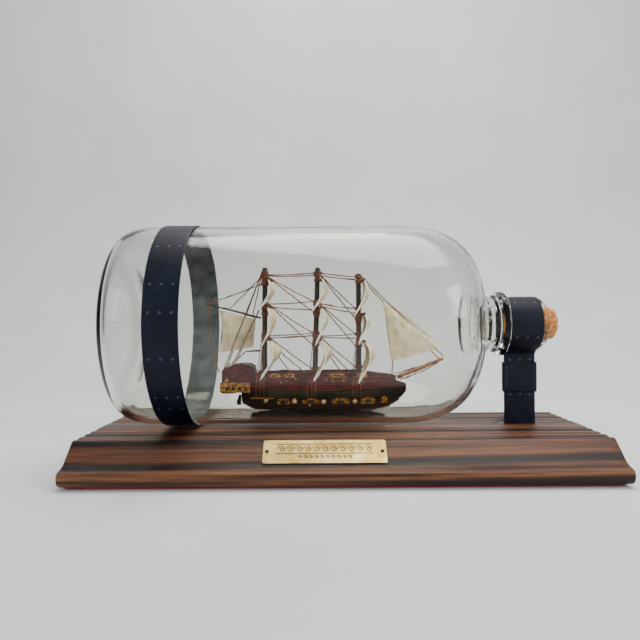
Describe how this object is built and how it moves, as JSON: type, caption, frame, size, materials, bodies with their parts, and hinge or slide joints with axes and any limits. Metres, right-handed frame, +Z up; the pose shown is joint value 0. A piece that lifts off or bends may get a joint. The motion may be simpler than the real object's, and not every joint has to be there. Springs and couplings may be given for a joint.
{
  "type": "ship in a bottle",
  "caption": "Model three-masted ship inside a laid-down glass jug with a cork, strapped to a moulded wooden board with a small nameplate.",
  "frame": {"origin": "middle of the felt underside, at the centre of the board's footprint", "axes": "+X along the bottle towards its mouth, front with the nameplate towards -Y, +Z up"},
  "size_m": [0.268, 0.117, 0.1322],
  "materials": {
    "board_wood": "oiled red-brown softwood with dark grain, scorched in the hollows",
    "red_felt": "thin red felt",
    "plate_brass": "pale brass sheet, lightly scratched",
    "pin_steel": "darkened round-head pins",
    "bottle_glass": "clear jug glass, faintly grey-green at thick edges",
    "cork": "natural cork",
    "strap_leather": "blue-black leather with pressed dots",
    "glue_putty": "dark putty",
    "hull_black": "gloss black paint",
    "hull_maroon": "maroon paint, worn",
    "gilt": "gilt paint over relief",
    "spar_brown": "dark stained wood",
    "spar_golden": "varnished wood",
    "sail_cloth": "stiffened cream cloth",
    "rigging_thread": "copper-brown twisted thread"
  },
  "bodies": {
    "stand": {"base_board": "board_wood", "felt_pad": "red_felt", "nameplate": "plate_brass", "nameplate_pin_left": "pin_steel", "nameplate_pin_right": "pin_steel", "bottle": "bottle_glass", "bottle_strap": "strap_leather", "neck_strap": "strap_leather", "strap_keeper": "strap_leather", "hull_lower": "hull_black", "hull_upper": "hull_maroon", "stern_gallery": "gilt", "gun_row_port": "gilt", "gun_row_starboard": "gilt", "bulwark_port": "hull_maroon", "bulwark_starboard": "hull_maroon", "rudder": "hull_black", "deck_hatch": "spar_brown", "glue_bed": "glue_putty", "mizzen_mast": "spar_brown", "mizzen_topgallant_yard": "spar_brown", "mizzen_topgallant": "sail_cloth", "mizzen_topsail_yard": "spar_brown", "mizzen_topsail": "sail_cloth", "mizzen_course_yard": "spar_brown", "mizzen_course": "sail_cloth", "main_mast": "spar_brown", "main_topgallant_yard": "spar_brown", "main_topgallant": "sail_cloth", "main_topsail_yard": "spar_brown", "main_topsail": "sail_cloth", "main_course_yard": "spar_brown", "main_course": "sail_cloth", "fore_mast": "spar_brown", "fore_topgallant_yard": "spar_brown", "fore_topgallant": "sail_cloth", "fore_topsail_yard": "spar_brown", "fore_topsail": "sail_cloth", "fore_course_yard": "spar_brown", "fore_course": "sail_cloth", "gaff": "spar_brown", "boom": "spar_brown", "bowsprit": "spar_golden", "spanker": "sail_cloth", "jib": "sail_cloth", "flying_jib": "sail_cloth", "masthead_stay": "rigging_thread", "mizzen_main_stays": "rigging_thread", "main_fore_stays": "rigging_thread", "mizzen_shrouds": "rigging_thread", "main_shrouds": "rigging_thread", "fore_shrouds": "rigging_thread", "mizzen_backstays": "rigging_thread", "peak_line": "rigging_thread"},
    "cork": {"cork": "cork"}
  },
  "joints": [
    {"name": "cork_pull", "type": "slide", "parent": "stand", "child": "cork", "axis": [1, 0, 0], "range_m": [0, 0.03]}
  ]
}
